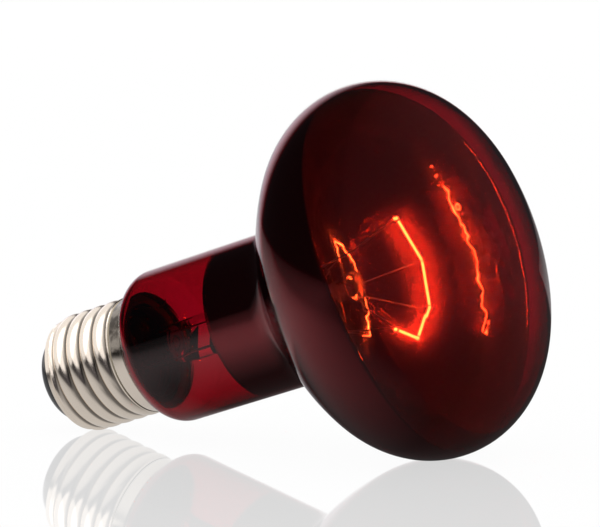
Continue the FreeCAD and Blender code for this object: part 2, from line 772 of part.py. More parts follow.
def lying_placement():
    """Lay the lamp on its side, on the round of the cap's end and the round of the head."""
    across, along = end_middle[0].number, end_middle[1].number
    rise = bulb_radius.number - back_rim.number - across
    run = widest.number - along
    lean = math.atan2(rise, run)
    lean += math.asin((back_rim.number - end_round.number) / math.hypot(run, rise))
    lift = across * math.cos(lean) + end_round.number - along * math.sin(lean)
    face_drop = leg(face_radius - front_rim, bulb_radius - front_rim).number
    front = (widest.number - face_drop) * math.cos(lean) + face_radius.number
    back = tip_solder_height.number * math.cos(lean)
    edge = of_sheet["contact_edge"].number
    back += edge * math.cos(lean) - (contact_radius.number - edge) * math.sin(lean) - edge
    turn = FreeCAD.Rotation(FreeCAD.Vector(0, 1, 0), QUARTER_TURN - math.degrees(lean))
    return FreeCAD.Placement(FreeCAD.Vector(-(front + back) / 2, 0, lift), turn)


def turned_by(angle):
    """A turn about the lamp's axis that brings the drawing plane to an angle."""
    return FreeCAD.Placement(
        FreeCAD.Vector(0, 0, 0),
        FreeCAD.Rotation(FreeCAD.Vector(0, 0, 1), QUARTER_TURN + angle.number))


press_angle = (of_sheet["side_lead_angle"] + of_sheet["centre_lead_angle"] + HALF_TURN) / 2
side_angle = of_sheet["side_lead_angle"]
centre_angle = of_sheet["centre_lead_angle"]
upright = as_size(-QUARTER_TURN)
thread_turned = as_size(QUARTER_TURN)

pieces = [
    (make_envelope(), upright),
    (make_coating(), upright),
    (make_shell(), thread_turned),
    (make_insulator(), upright),
    (make_contact(), upright),
    (make_tip_solder(), upright),
    (make_rim_solder(), side_angle),
    (make_cement(), side_angle),
    (make_stem(), press_angle),
    (make_exhaust(), upright),
    (make_arbor(), support_turn(SUPPORTS - 1)),
    (make_side_lead(), side_angle),
    (make_centre_lead(), centre_angle),
    (make_filament(), upright),
]
for number in range(SUPPORTS):
    pieces.append((make_support(number + 1), support_turn(number)))

doc.recompute()
for item in doc.Objects:
    if "Invalid" in item.State or "Error" in item.State:
        raise RuntimeError(item.Label + " failed: " + ", ".join(item.State))

lying = lying_placement()
for piece, angle in pieces:
    piece.Placement = lying.multiply(turned_by(angle))
    if piece.Shape.isNull() or not piece.Shape.isValid():
        raise RuntimeError(piece.Label + " has no valid shape")
    if len(piece.Shape.Solids) != 1:
        raise RuntimeError(piece.Label + " is not one solid")

os.makedirs("parts", exist_ok=True)
for piece, angle in pieces:
    piece.Shape.exportStep("parts/" + piece.Label + ".step")
    print(piece.Label, round(piece.Shape.Volume, 2))
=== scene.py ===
import json
import math

import bmesh
import bpy
from mathutils import Matrix, Vector


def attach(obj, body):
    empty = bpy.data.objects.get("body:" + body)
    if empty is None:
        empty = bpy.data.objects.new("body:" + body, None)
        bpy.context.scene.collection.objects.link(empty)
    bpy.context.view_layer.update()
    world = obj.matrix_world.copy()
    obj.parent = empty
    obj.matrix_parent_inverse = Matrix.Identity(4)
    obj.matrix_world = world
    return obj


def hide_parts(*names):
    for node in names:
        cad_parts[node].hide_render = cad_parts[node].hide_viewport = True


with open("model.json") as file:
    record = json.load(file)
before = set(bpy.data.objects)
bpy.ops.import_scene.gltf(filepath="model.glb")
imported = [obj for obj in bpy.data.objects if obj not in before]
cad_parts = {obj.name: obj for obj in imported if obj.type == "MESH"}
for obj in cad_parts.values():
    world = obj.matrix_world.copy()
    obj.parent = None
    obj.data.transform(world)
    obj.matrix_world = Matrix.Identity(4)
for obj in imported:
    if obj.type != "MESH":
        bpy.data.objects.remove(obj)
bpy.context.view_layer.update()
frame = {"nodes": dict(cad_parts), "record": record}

bl_info = {
    "name": "Infrared Heat Lamp Bulb",
    "version": (1, 0, 0),
    "blender": (4, 5, 0),
    "location": "View3D > Sidebar > Heat Lamp",
    "description": "Dresses the lamp's solids with ruby glass, mirror, cap, wires and filament",
    "category": "Object",
}

MM = 0.001
FULL_TURN = 2 * math.pi
WELD = 1e-7
SHARP_EDGE = math.radians(38)
SUPPORTS = 3

# Steps of the meshes. The coil's are per turn.
ARC_STEP = math.radians(2.5)
BEND_STEP = math.radians(15)
LATHE_STEPS = 192
NECK_STEPS = 12
ARBOR_STEPS = 8
WIRE_SIDES = 10
LOOP_STEPS = 36
COIL_STEPS = 9

# Finishes. A drift is the scale of a pattern and the two ends of the roughness.
WHITE = (1.0, 1.0, 1.0)
TUNGSTEN = (0.2, 0.2, 0.2)
RUBY = {"Roughness": 0.0, "Transmission Weight": 1.0, "IOR": 1.5}
FILM = {"Roughness": 0.7, "Transmission Weight": 1.0, "IOR": 1.06}
CLEAR_GLASS = {"Roughness": 0.0, "Transmission Weight": 1.0, "IOR": 1.2}
BUTTON_GLASS = {"Roughness": 0.12, "Transmission Weight": 0.93}
BLACK_GLASS = {"Roughness": 0.12}
CEMENT = {"Roughness": 0.9}
MIRROR_BACK = {"Metallic": 1.0, "Roughness": 0.10}
MIRROR = {
    "Metallic": 1.0, "Roughness": 0.05,
    "Coat Weight": 0.8, "Coat Roughness": 0.2, "Coat IOR": 2.0}
MIRROR_RIPPLE = (140.0, 0.0004)
RIPPLE_DETAIL = 2.0
DRIFT_NOISE = {"Detail": 6.0}
DRIFT_SPREAD = {"From Min": 0.3, "From Max": 0.7}
PLATING_DRIFT = (260.0, 0.14, 0.26)
CONTACT_DRIFT = (500.0, 0.22, 0.40)
SOLDER_DRIFT = (900.0, 0.25, 0.45)
WIRE_DRIFT = (1500.0, 0.25, 0.40)

# Painted shade and tarnish in the roots of the shell's thread, and darker patches on the upper
# side of its skirt. Reach, clear and ease are shares of the thread's depth, the end's round and
# the skirt's length. The upper side is in metres above the contact tip.
ROOT_SHADE_AND_TARNISH = 0.85
ROOT_REACH = 0.45
END_CLEAR = 0.5
SKIRT_EASE = 0.3
UPPER_SIDE = (0.0072, 0.0090)
PATCH_NOISE = {"Scale": 420.0, "Detail": 5.0}
PATCH_EDGE = (0.40, 0.60)
PATCH_DARKNESS = (0.75, 1.0)


def mount_of(name):
    """The place and direction of one of the record's mounts."""
    for mount in frame["record"]["mounts"]:
        if mount["name"] == name:
            return Vector(mount["pos_m"]), Vector(mount["axis"])
    raise ValueError("the record has no mount named " + name)


def lying_matrix():
    """Brings the upright lamp, its contact tip at the origin, to where it lies on the table."""
    tip, outwards = mount_of("centre_contact_tip")
    axis = -outwards.normalized()
    side = Vector((0, 1, 0))
    below = side.cross(axis)
    turned = Matrix((below, side, axis)).transposed().to_4x4()
    return Matrix.Translation(tip) @ turned


LYING = lying_matrix()


def number(name, description, value, **more):
    return bpy.props.FloatProperty(name=name, description=description, default=value, **more)


def length(name, description, millimetres):
    return number(name, description, millimetres * MM, unit="LENGTH", precision=5)


def angle(name, description, degrees):
    return number(name, description, math.radians(degrees), unit="ROTATION")


def colour(name, description, red_green_blue):
    return bpy.props.FloatVectorProperty(
        name=name, description=description, default=red_green_blue, subtype="COLOR", size=3,
        min=0.0, max=1.0)


def share(name, description, value):
    return number(name, description, value, min=0.0, max=1.0, subtype="FACTOR")


class GlassSettings(bpy.types.PropertyGroup):
    """Sizes of the blown glass and its mirror."""

    bulb_radius: length("Bulb radius", "Widest radius of the glass", 40.0)
    widest: length("Widest height", "Height of the widest section above the contact tip", 92.3)
    wall: length("Wall", "Thickness of the glass", 0.9)
    neck_radius: length("Neck radius", "Outer radius of the neck", 16.9)
    cap_neck_radius: length("Neck in cap", "Outer radius of the glass inside the cap", 11.0)
    neck_end: length("Neck end", "Lower end of the glass inside the cap", 20.5)
    rim_round: length("Rim round", "Hollow round where the glass leaves the cap", 1.2)
    seat: length("Seat height", "Height where the glass spreads out over the cap's rim", 27.4)
    fillet: length("Fillet", "Hollow round between neck and reflector", 8.0)
    back_radius: length("Back radius", "Main radius of the reflector back", 49.5)
    back_rim: length("Back rim", "Tighter radius behind the widest section", 18.6)
    front_rim: length("Front rim", "Tighter radius in front of the widest section", 18.3)
    face_radius: length("Face radius", "Radius of the domed face", 66.8)
    coat_start: length("Mirror start", "Edge of the mirror in the neck", 51.7)
    coat_reach: length("Mirror reach", "Mean reach of the mirror past the widest section", 3.7)
    coat_tilt: length("Mirror tilt", "How much further the mirror reaches on one side", 2.5)
    coat_tilt_turn: angle("Mirror tilt turn", "Side on which the mirror reaches further", -19.0)
    coat_wave: length("Mirror wave", "How much the mirror's edge waves on its way round", 2.3)
    coat_wave_turn: angle("Mirror wave turn", "Side where the mirror's edge waves outwards", 15.0)
    coat_gap: length("Mirror gap", "Distance that keeps the mirror clear of the glass", 0.03)
    coat_wall: length("Mirror wall", "Thickness given to the mirror", 0.1)
    film_start: length("Film start", "Distance of the film from the widest section", 9.0)
    film_gap: length("Film gap", "Distance that keeps the film clear of the glass", 0.06)
    film_wall: length("Film wall", "Thickness given to the film", 0.02)


class CapSettings(bpy.types.PropertyGroup):
    """Sizes of the screw cap."""

    height: length("Cap height", "From the contact tip to the rim", 27.0)
    wall: length("Sheet", "Sheet thickness of the screw shell", 0.35)
    crest_radius: length("Crest radius", "Radius over the thread crests", 13.1)
    crest_share: share("Crest share", "Share of the pitch that the round crest takes", 0.75)
    depth: length("Thread depth", "Height of the rolled thread", 0.7)
    pitch: length("Pitch", "Pitch of the thread", 3.629)
    start: length("Thread start", "Height of the crest on the upper side", 5.49)
    skirt_radius: length("Skirt radius", "Outer radius of the plain skirt", 13.2)
    skirt_flare: length("Skirt flare", "How much the skirt widens towards the glass", 0.45)
    skirt_length: length("Skirt length", "Length of the plain skirt", 3.8)
    end: length("Shell end", "Height of the turned-in end of the shell", 6.0)
    end_round: length("End round", "Round of the turned-in end", 2.8)
    lip_radius: length("Lip radius", "Radius inside the turned-in end", 10.4)
    row: length("Thread row", "Spacing of the mesh rows along the thread", 0.15)
    insulator_round: length("Insulator round", "Round of the insulator towards the shell", 4.2)
    contact_radius: length("Contact radius", "Radius of the centre contact", 4.75)
    contact_thickness: length("Contact thickness", "Thickness of the centre contact", 0.8)
    contact_edge: length("Contact edge", "Rounding of the contact's edge", 0.3)
    solder_radius: length("Solder radius", "Radius of the solder on the contact", 2.2)
    solder_height: length("Solder height", "Height of the solder on the contact", 0.5)


class MountSettings(bpy.types.PropertyGroup):
    """Sizes of the filament and of what carries it."""

    press_top: length("Press top", "Top of the stem's press", 43.0)
    arbor_radius: length("Arbor radius", "Radius of the arbor rod", 1.25)
    button_height: length("Button height", "Height of the middle of the button", 79.1)
    button_radius: length("Button radius", "Radius of the button", 3.4)
    button_thickness: length("Button thickness", "Thickness of the button", 2.6)
    support_radius: length("Support radius", "Radius of the support wires", 0.15)
    support_seat: length("Support seat", "Radius where the supports end in the button", 1.6)
    support_reach: length("Support reach", "Radius where the supports bend forward", 4.6)
    support_angle: angle("Support angle", "Angle of the first support", 7.5)
    support_step: angle("Support step", "Angle between supports", 41.5)
    lead_radius: length("Lead radius", "Radius of the lead wires", 0.2)
    lead_spread: length("Lead spread", "Distance of the leads from the axis in the press", 3.0)
    lead_stub: length("Lead stub", "Straight length of a lead above the press", 0.8)
    side_lead_angle: angle("Side lead angle", "Angle of the lead to the shell", 53.0)
    side_knee_height: length("Side knee height", "Height of the bend in the side lead", 78.0)
    side_knee_radius: length("Side knee radius", "Radius of the bend in the side lead", 9.8)
    side_turn: length("Side lead turn", "Height where the side lead turns outwards", 17.0)
    side_slope: length("Side lead slope", "Rise of the side lead on its way outwards", 0.8)
    skirt_clearance: length("Skirt clearance", "Clearance of the side lead in the skirt", 0.65)
    centre_lead_angle: angle("Centre lead angle", "Angle of the lead to the contact", -111.5)
    centre_reach: length("Centre reach", "Radius of the filament's end on that lead", 12.1)
    centre_turn: length("Centre lead turn", "Height where the lead turns inwards", 12.5)
    centre_drop: length("Centre lead drop", "Height over which it reaches the axis", 3.0)
    bend: length("Bend", "Radius of the bends in the wires", 0.8)
    loop_clearance: length("Loop clearance", "Clearance of the loops round the filament", 0.1)
    loop_shank: length("Loop shank", "Straight shank of a wire below its loop", 1.5)
    loop_sweep: angle("Loop sweep", "Turn of a loop round the filament", 290.0)
    ring_radius: length("Ring radius", "Radius of the filament's ring", 14.4)
    filament_height: length("Filament height", "Height of the filament's ring", 88.3)
    filament_radius: length("Filament radius", "Outer radius of the coiled filament", 0.31)
    filament_tail: length("Filament tail", "Length of the filament past each lead", 0.4)
    coil_wire: length("Coil wire", "Radius of the wire of the filament's coil", 0.08)
    coil_pitch: length("Coil pitch", "Pitch of the filament's coil", 0.175)


class FinishSettings(bpy.types.PropertyGroup):
    """Colours of the finishes."""

    ruby: colour("Ruby", "Tint of the surface of the glass", (0.80, 0.25, 0.40))
    ruby_depth: colour("Ruby depth", "Colour of the glass in its depth", (0.823, 0.0, 0.346))
    ruby_density: number("Ruby density", "How fast the glass darkens, per metre", 2356.0)
    film_tint: colour("Film tint", "Colour of the film inside the face", (1.0, 0.3, 1.0))
    film: share("Film", "Share of the light that each side of the film scatters", 0.12)
    mirror: colour("Mirror", "Colour of the mirror coating", (0.90, 0.90, 0.91))
    mirror_back: colour("Mirror back", "Colour of the mirror seen from outside", (0.62, 0.62, 0.62))
    plating: colour("Plating", "Colour of the plated screw shell", (0.92, 0.81, 0.70))
    # This colour also paints the shade in the roots of the thread.
    tarnish: colour("Tarnish", "Colour of the stains on the screw shell", (0.075, 0.063, 0.052))
    black_glass: colour("Black glass", "Colour of the cap's insulator", (0.012, 0.012, 0.013))
    contact: colour("Contact", "Colour of the centre contact", (0.70, 0.66, 0.58))
    solder: colour("Solder", "Colour of the solder", (0.62, 0.62, 0.63))
    cement: colour("Cement", "Colour of the basing cement", (0.50, 0.42, 0.30))
    lead: colour("Leads", "Colour of the lead wires", (0.32, 0.30, 0.27))
    support: colour("Supports", "Colour of the support wires", (0.34, 0.33, 0.32))
    glow: colour("Glow", "Colour of the glowing filament", (1.0, 1.0, 0.05))
    glow_strength: number("Glow strength", "Strength of the filament's light", 95.0)


class StageSettings(bpy.types.PropertyGroup):
    """Camera, floor and lights."""

    azimuth: angle("Azimuth", "Turn of the camera to the right of the lamp's side view", 30.54)
    elevation: angle("Elevation", "Height of the camera above the horizon", 5.252)
    distance: length("Distance", "From the camera to the point it looks at", 700.0)
    focal_length: number("Focal length", "Focal length in millimetres on a 36 mm sensor", 190.3)
    aim: bpy.props.FloatVectorProperty(
        name="Aim", description="Point in the middle of the picture",
        default=(-0.01092, 0.0281, 0.03598), subtype="TRANSLATION", size=3)
    floor_size: length("Floor size", "Half the side of the floor", 20000.0)
    floor_gloss: share("Floor gloss", "Strength of the table's reflection", 0.85)
    floor_index: number("Floor index", "Refractive index of the table's polish", 1.3)
    floor_lit: share("Floor lit", "Share of the floor's white that takes shadows", 0.05)
    pool: share("Light pool", "Brightness of the table on the left in the glass", 0.62)
    strip: share("Light strip", "Brightness of the table behind the lamp in the glass", 0.38)
    dark_table: share("Dark table", "Brightness of the rest of the table in the glass", 0.05)
    dark_room: share("Dark room", "Brightness of the room on the left in the glass", 0.02)
    dim_room: share("Dim room", "Brightness of the room on the right in the glass", 0.075)
    room_tint: colour("Room tint", "Tint of the room's light in the glass", (0.95, 0.90, 1.0))
    fill: share("Fill", "Brightness of the soft light all round", 1.0)


def settings_of(context):
    """The sizes of glass, cap and mount, and the finishes."""
    scene = context.scene
    return (scene.heat_lamp_glass, scene.heat_lamp_cap, scene.heat_lamp_mount,
            scene.heat_lamp_finish)


class Meridian:
    """An outline in a plane through the lamp's axis, drawn on from its last vertex."""

    def __init__(self, radius, height):
        self.mesh = bmesh.new()
        self.last = self.mesh.verts.new((radius, 0, height))

    def grow(self, place):
        self.last = bmesh.ops.extrude_vert_indiv(self.mesh, verts=[self.last])["verts"][0]
        self.last.co = place

    def line_to(self, radius, height, steps=1):
        start, end = self.last.co.copy(), Vector((radius, 0, height))
        for step in range(1, steps + 1):
            self.grow(start.lerp(end, step / steps))
        return self

    def arc_to(self, radius, height, centre):
        """Goes round a centre to a point, the short way."""
        middle = Vector((centre[0], 0, centre[1]))
        start, end = self.last.co - middle, Vector((radius, 0, height)) - middle
        steps = max(2, math.ceil(start.angle(end) / ARC_STEP))
        turn = start.rotation_difference(end)
        for step in range(1, steps + 1):
            part = turn.copy()
            part.angle = turn.angle * step / steps
            self.grow(middle + part @ start)
        return self

    def lathe(self):
        bmesh.ops.spin(
            self.mesh, geom=self.mesh.verts[:] + self.mesh.edges[:], cent=(0, 0, 0), axis=(0, 0, 1),
            angle=FULL_TURN, steps=LATHE_STEPS, use_merge=True)
        return self.mesh


def leg(long_side, short_side):
    """The other short side of a right triangle."""
    return math.sqrt(long_side * long_side - short_side * short_side)


def at_angle(turn, radius, height):
    """A point at an angle round the axis. Zero is the far side and a quarter turn the top."""
    return Vector((-radius * math.sin(turn), radius * math.cos(turn), height))


def front_rim_point(glass, inset, reach):
    """Where the front rim is at a depth below the glass and a reach past the widest section."""
    middle = glass.bulb_radius - glass.front_rim
    return middle + leg(glass.front_rim - inset, reach), glass.widest + reach


def add_face(line, glass, inset):
    """Carries an outline on over the front rim to the middle of the face."""
    middle = glass.bulb_radius - glass.front_rim
    rise = leg(glass.face_radius - glass.front_rim, middle)
    base = glass.widest - rise
    turn = (glass.face_radius - inset) / (glass.face_radius - glass.front_rim)
    line.arc_to(middle * turn, base + rise * turn, (middle, glass.widest))
    return line.arc_to(0, base + glass.face_radius - inset, (0, base))


def glass_meridian(glass, inset, coated=False):
    """The lamp's outline at a depth below the glass, from the neck to the face."""
    drop = leg(glass.back_radius - glass.back_rim, glass.bulb_radius - glass.back_rim)
    back_height = glass.widest + drop
    fillet_radius = glass.neck_radius + glass.fillet
    fillet_rise = leg(glass.back_radius + glass.fillet, fillet_radius)
    fillet_middle = (fillet_radius, back_height - fillet_rise)
    rim_middle = (glass.bulb_radius - glass.back_rim, glass.widest)
    neck = glass.neck_radius - inset
    if coated:
        line = Meridian(neck, glass.coat_start)
    else:
        shoulder = glass.neck_radius - glass.cap_neck_radius - glass.rim_round
        seat_radius = glass.cap_neck_radius + glass.rim_round
        line = Meridian(glass.cap_neck_radius - inset, glass.neck_end)
        line.line_to(glass.cap_neck_radius - inset, glass.seat - glass.rim_round)
        line.arc_to(seat_radius, glass.seat + inset, (seat_radius, glass.seat - glass.rim_round))
        line.arc_to(neck, glass.seat + shoulder, (seat_radius, glass.seat + shoulder))
    line.line_to(neck, fillet_middle[1], steps=NECK_STEPS)
    reach = (glass.back_radius - inset) / (glass.back_radius + glass.fillet)
    line.arc_to(fillet_radius * reach, back_height - fillet_rise * reach, fillet_middle)
    blend = (glass.back_radius - inset) / (glass.back_radius - glass.back_rim)
    line.arc_to(rim_middle[0] * blend, back_height - drop * blend, (0, back_height))
    line.arc_to(glass.bulb_radius - inset, glass.widest, rim_middle)
    if not coated:
        return add_face(line, glass, inset)
    edge = front_rim_point(glass, inset, glass.coat_reach)
    return line.arc_to(*edge, (glass.bulb_radius - glass.front_rim, glass.widest))


def mesh_data(name, mesh, material):
    """Makes a bmesh the data of an object with one material."""
    data = bpy.data.meshes.new(name)
    mesh.to_mesh(data)
    mesh.free()
    data.materials.append(material)
    return data


def place_object(name, data):
    """Puts an object with the given data into the scene."""
    placed = bpy.data.objects.new(name, data)
    bpy.context.scene.collection.objects.link(placed)
    return placed


def finish_piece(name, mesh, material, nodes):
    """Makes the upright mesh a piece that lies in place and stands for its CAD nodes."""
    bmesh.ops.remove_doubles(mesh, verts=mesh.verts, dist=WELD)
    bmesh.ops.recalc_face_normals(mesh, faces=mesh.faces)
    bmesh.ops.transform(mesh, matrix=LYING, verts=mesh.verts)
    data = mesh_data(name, mesh, material)
    data.shade_smooth()
    data.set_sharp_from_angle(angle=SHARP_EDGE)
    piece = place_object(name, data)
    if nodes:
        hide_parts(*nodes)
    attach(piece, "root")
    return piece


def give_wall(piece, thickness, inner_slot=0):
    """Thickens a surface towards its inner side, which may have a finish of its own."""
    wall = piece.modifiers.new("wall", "SOLIDIFY")
    wall.thickness = thickness
    wall.offset = -1.0
    wall.use_even_offset = True
    wall.material_offset = inner_slot
    wall.material_offset_rim = inner_slot


def paint_node(name, material):
    """Gives a CAD node that stays in view its finish."""
    data = frame["nodes"][name].data
    data.materials.clear()
    data.materials.append(material)


def set_inputs(node, values):
    """Sets the named inputs of a node."""
    for socket, value in values.items():
        node.inputs[socket].default_value = value


def new_material(name, base, values):
    """A material whose Principled shader has a base colour and some values."""
    material = bpy.data.materials.new(name)
    material.use_nodes = True
    shader = material.node_tree.nodes["Principled BSDF"]
    set_inputs(shader, {"Base Color": (*base, 1.0), **values})
    return material


def feed(material, output, socket):
    """Links an output to an input of a material's Principled shader."""
    tree = material.node_tree
    tree.links.new(output, tree.nodes["Principled BSDF"].inputs[socket])


def add_node(tree, kind, values=None):
    """A new shader node with some of its inputs set."""
    node = tree.nodes.new("ShaderNode" + kind)
    set_inputs(node, values or {})
    return node


def deepen(material, depth, density):
    """Lets glass darken with the length of the way through it."""
    tree = material.node_tree
    absorb = add_node(tree, "VolumeAbsorption", {"Color": (*depth, 1.0), "Density": density})
    tree.links.new(absorb.outputs["Volume"], tree.nodes["Material Output"].inputs["Volume"])


def object_place(tree):
    """The place of a point in the object's own coordinates."""
    return add_node(tree, "TexCoord").outputs["Object"]


def vector_math(tree, operation, place, other=None):
    """A step of vector mathematics on a place. Gives its outputs."""
    step = add_node(tree, "VectorMath")
    step.operation = operation
    tree.links.new(place, step.inputs[0])
    if other is not None:
        step.inputs[1].default_value = other
    return step.outputs


def along(tree, place, direction):
    """How far a place lies in a direction."""
    return vector_math(tree, "DOT_PRODUCT", place, direction)["Value"]


def eased(tree, value, low, high, to_low=0.0, to_high=1.0):
    """A soft step of a value between two ends."""
    step = add_node(tree, "MapRange", {
        "From Min": low, "From Max": high, "To Min": to_low, "To Max": to_high})
    step.interpolation_type = "SMOOTHSTEP"
    tree.links.new(value, step.inputs["Value"])
    return step.outputs["Result"]


def combined(tree, operation, result, *others):
    """Values joined one by one by a product or by the larger of two. The first isn't constant."""
    for value in others:
        joint = add_node(tree, "Math")
        joint.operation = operation
        tree.links.new(result, joint.inputs[0])
        if isinstance(value, float):
            joint.inputs[1].default_value = value
        else:
            tree.links.new(value, joint.inputs[1])
        result = joint.outputs["Value"]
    return result


def blended(tree, factor, first, second):
    """A colour between two colours."""
    mix = add_node(tree, "Mix")
    mix.data_type = "RGBA"
    set_inputs(mix, {"A": (*first, 1.0), "B": (*second, 1.0)})
    tree.links.new(factor, mix.inputs["Factor"])
    return mix.outputs["Result"]


def add_noise(tree, place, values):
    """A noise pattern at a place."""
    noise = add_node(tree, "TexNoise", values)
    tree.links.new(place, noise.inputs["Vector"])
    return noise


def spread_group():
    """Shared effect: a value that drifts over the surface between two ends, for handled metal."""
    group = bpy.data.node_groups.get("surface_drift")
    if group:
        return group
    group = bpy.data.node_groups.new("surface_drift", "ShaderNodeTree")
    for socket in ("Scale", "Low", "High"):
        group.interface.new_socket(socket, in_out="INPUT", socket_type="NodeSocketFloat")
    group.interface.new_socket("Value", in_out="OUTPUT", socket_type="NodeSocketFloat")
    links = group.links
    entry, leave = group.nodes.new("NodeGroupInput"), group.nodes.new("NodeGroupOutput")
    noise = add_noise(group, object_place(group), DRIFT_NOISE)
    spread = add_node(group, "MapRange", DRIFT_SPREAD)
    links.new(entry.outputs["Scale"], noise.inputs["Scale"])
    links.new(noise.outputs["Fac"], spread.inputs["Value"])
    links.new(entry.outputs["Low"], spread.inputs["To Min"])
    links.new(entry.outputs["High"], spread.inputs["To Max"])
    links.new(spread.outputs["Result"], leave.inputs["Value"])
    return group


def drifting_metal(name, base, scale, low, high):
    """A metal whose roughness drifts between two ends."""
    metal = new_material(name, base, {"Metallic": 1.0})
    drift = add_node(metal.node_tree, "Group")
    drift.node_tree = spread_group()
    set_inputs(drift, {"Scale": scale, "Low": low, "High": high})
    feed(metal, drift.outputs["Value"], "Roughness")
    return metal


def add_ripple(material, scale, depth):
    """Makes a blown surface slightly uneven."""
    tree = material.node_tree
    noise = add_noise(tree, object_place(tree), {"Scale": scale, "Detail": RIPPLE_DETAIL})
    ripple = add_node(tree, "Bump", {"Strength": 1.0, "Distance": depth})
    tree.links.new(noise.outputs["Fac"], ripple.inputs["Height"])
    feed(material, ripple.outputs["Normal"], "Normal")


class HEATLAMP_OT_glass(bpy.types.Operator):
    """Blow the ruby glass envelope"""

    bl_idname = "heat_lamp.glass"
    bl_label = "Ruby Glass Envelope"

    def execute(self, context):
        glass, _, _, finish = settings_of(context)
        mesh = glass_meridian(glass, 0.0).lathe()
        ruby = new_material("ruby_glass", finish.ruby, RUBY)
        deepen(ruby, finish.ruby_depth, finish.ruby_density)
        piece = finish_piece("ruby_envelope", mesh, ruby, ["glass_envelope"])
        give_wall(piece, glass.wall)

        film = new_material(
            "evaporated_film", finish.film_tint, {**FILM, "Alpha": finish.film})
        inset = glass.wall + glass.film_gap
        line = Meridian(*front_rim_point(glass, inset, glass.film_start))
        mesh = add_face(line, glass, inset).lathe()
        piece = finish_piece("face_film", mesh, film, [])
        give_wall(piece, glass.film_wall)
        return {"FINISHED"}


def mirror_edge(glass, turn):
    """How far the mirror reaches past the widest section at an angle round the axis."""
    tilt = glass.coat_tilt * math.cos(turn - glass.coat_tilt_turn)
    wave = glass.coat_wave * math.cos(2 * (turn - glass.coat_wave_turn))
    return max(glass.coat_wall, glass.coat_reach + tilt + wave)


class HEATLAMP_OT_mirror(bpy.types.Operator):
    """Lay the mirror coating inside the reflector"""

    bl_idname = "heat_lamp.mirror"
    bl_label = "Mirror Coating"

    def execute(self, context):
        glass, _, _, finish = settings_of(context)
        inset = glass.wall + glass.coat_gap
        mesh = glass_meridian(glass, inset, coated=True).lathe()
        for vert in mesh.verts:
            if vert.co.z > glass.widest + WELD:
                turn = math.atan2(-vert.co.x, vert.co.y)
                rise = (vert.co.z - glass.widest) * mirror_edge(glass, turn) / glass.coat_reach
                vert.co = at_angle(turn, *front_rim_point(glass, inset, rise))
        back = new_material("mirror_back", finish.mirror_back, MIRROR_BACK)
        mirror = new_material("mirror_coating", finish.mirror, MIRROR)
        add_ripple(mirror, *MIRROR_RIPPLE)
        piece = finish_piece("mirror_layer", mesh, back, ["reflector_coating"])
        piece.data.materials.append(mirror)
        give_wall(piece, glass.coat_wall, inner_slot=1)
        return {"FINISHED"}


def thread_rise(cap, turn, height):
    """Height of the rolled thread over its root: a wide round crest that runs into a tight root."""
    half_pitch = cap.pitch / 2
    crest = half_pitch * cap.crest_share
    slope = 2 * math.atan(cap.depth / half_pitch)
    turns = (height - cap.start) / cap.pitch - turn / FULL_TURN
    off_crest = abs(turns - round(turns)) * cap.pitch
    if off_crest <= crest:
        bend = crest / math.sin(slope)
        return leg(bend, off_crest) - bend + cap.depth
    bend = (half_pitch - crest) / math.sin(slope)
    return bend - leg(bend, half_pitch - off_crest)


def shell_radius(cap, turn, height):
    """Outer radius of the screw shell: turned-in end, thread and flaring skirt."""
    root = cap.crest_radius - cap.depth
    skirt_start = cap.height - cap.skirt_length
    foot = cap.skirt_radius - cap.skirt_flare
    if height >= skirt_start:
        return foot + cap.skirt_flare * (height - skirt_start) / cap.skirt_length
    threaded = root + thread_rise(cap, turn, height)
    into_end = max(0.0, cap.end + cap.end_round - height)
    threaded = min(threaded, cap.lip_radius + leg(cap.end_round, into_end))
    rise = foot - root
    into_skirt = min(1.0, max(0.0, (height - skirt_start + rise) / rise))
    eased_rise = rise * into_skirt * into_skirt * (3 - 2 * into_skirt)
    return max(threaded, root + eased_rise)


def shell_mesh(cap):
    """Spins the sheet of the shell, then rolls the thread into it."""
    root = cap.crest_radius - cap.depth
    middle = (cap.lip_radius, cap.end + cap.end_round)
    foot = middle[1] - leg(cap.end_round, root - cap.lip_radius)
    line = Meridian(cap.lip_radius, cap.end)
    line.arc_to(root, foot, middle)
    line.line_to(root, cap.height, steps=round((cap.height - foot) / cap.row))
    mesh = line.lathe()
    for vert in mesh.verts:
        across = Vector((vert.co.x, vert.co.y))
        if vert.co.z > cap.end + WELD:
            turn = math.atan2(-across.y, -across.x)
            across = across.normalized() * shell_radius(cap, turn, vert.co.z)
            vert.co.x, vert.co.y = across
    return mesh


def tarnish_shell(material, cap, finish):
    """Browns the sheet: painted shade and tarnish in the thread's roots, patches on the skirt's
    upper side.
    """
    tree = material.node_tree
    tip, outwards = mount_of("centre_contact_tip")
    place = vector_math(tree, "SUBTRACT", object_place(tree), tip)["Vector"]
    height = along(tree, place, -outwards)
    across = vector_math(tree, "CROSS_PRODUCT", place, outwards)["Vector"]
    radius = vector_math(tree, "LENGTH", across)["Value"]
    root = cap.crest_radius - cap.depth
    # Painted shade and tarnish: the roots of the thread are darkened towards the tarnish colour.
    root_shade_and_tarnish = eased(tree, radius, root, root + ROOT_REACH * cap.depth, ROOT_SHADE_AND_TARNISH, 0.0)
    end_clear = cap.end + END_CLEAR * cap.end_round
    past_end = eased(tree, height, end_clear, cap.end + cap.end_round)
    noise = add_noise(tree, place, PATCH_NOISE)
    skirt_start = cap.height - cap.skirt_length
    on_skirt = eased(tree, height, skirt_start, skirt_start + SKIRT_EASE * cap.skirt_length)
    # Darker noise patches, on the skirt's upper side only.
    upper = eased(tree, along(tree, place, (0, 0, 1)), *UPPER_SIDE)
    patches = eased(tree, noise.outputs["Fac"], *PATCH_EDGE, *PATCH_DARKNESS)
    patches = combined(tree, "MULTIPLY", patches, on_skirt, upper)
    root_shade_and_patches = combined(tree, "MAXIMUM", combined(tree, "MULTIPLY", root_shade_and_tarnish, past_end), patches)
    feed(material, blended(tree, root_shade_and_patches, finish.plating, finish.tarnish), "Base Color")


